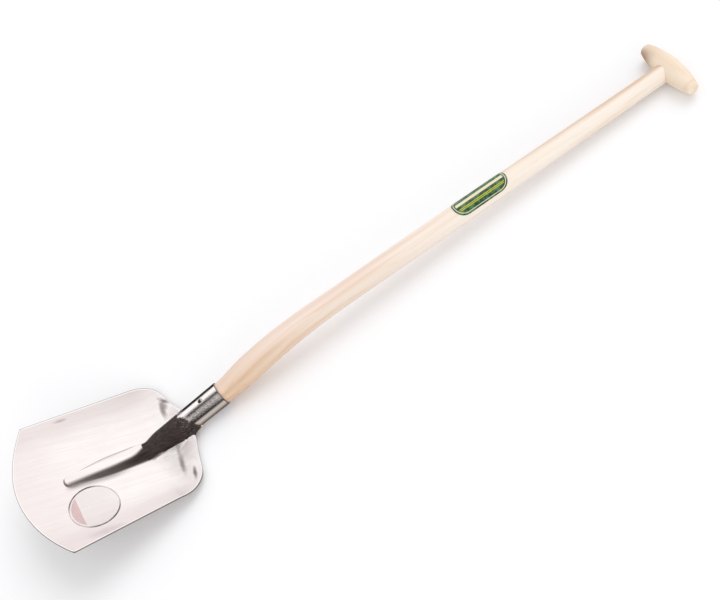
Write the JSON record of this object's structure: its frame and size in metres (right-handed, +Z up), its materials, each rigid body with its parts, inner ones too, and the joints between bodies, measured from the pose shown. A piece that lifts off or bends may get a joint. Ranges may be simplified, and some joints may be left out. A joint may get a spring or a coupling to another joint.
{
  "type": "scoop shovel",
  "caption": "Broad dished steel scoop with a pressed rib and a rolled socket on a bent ash shaft with a turned T-grip.",
  "frame": {"origin": "middle of the lying tool's bounding box, on the floor", "axes": "+Y from the scoop to the grip, +Z up out of the hollow, +X to the right of the scoop seen from the grip with the hollow up"},
  "size_m": [0.2834, 1.3638, 0.114],
  "materials": {
    "polished_steel": "bright, finely brushed along the blade",
    "pale_ash": "sanded, unvarnished",
    "pale_ash_grip": "sanded, unvarnished",
    "wedge_wood": "sawn flush",
    "nail_steel": "bright",
    "green_label": "printed film",
    "clear_label": "clear film"
  },
  "bodies": {
    "root": {"blade_and_socket": "polished_steel", "handle_shaft": "pale_ash", "t_grip": "pale_ash_grip", "grip_wedge": "wedge_wood", "socket_nail_front": "nail_steel", "socket_nail_back": "nail_steel", "handle_label": "green_label", "pan_label": "clear_label"}
  },
  "joints": []
}
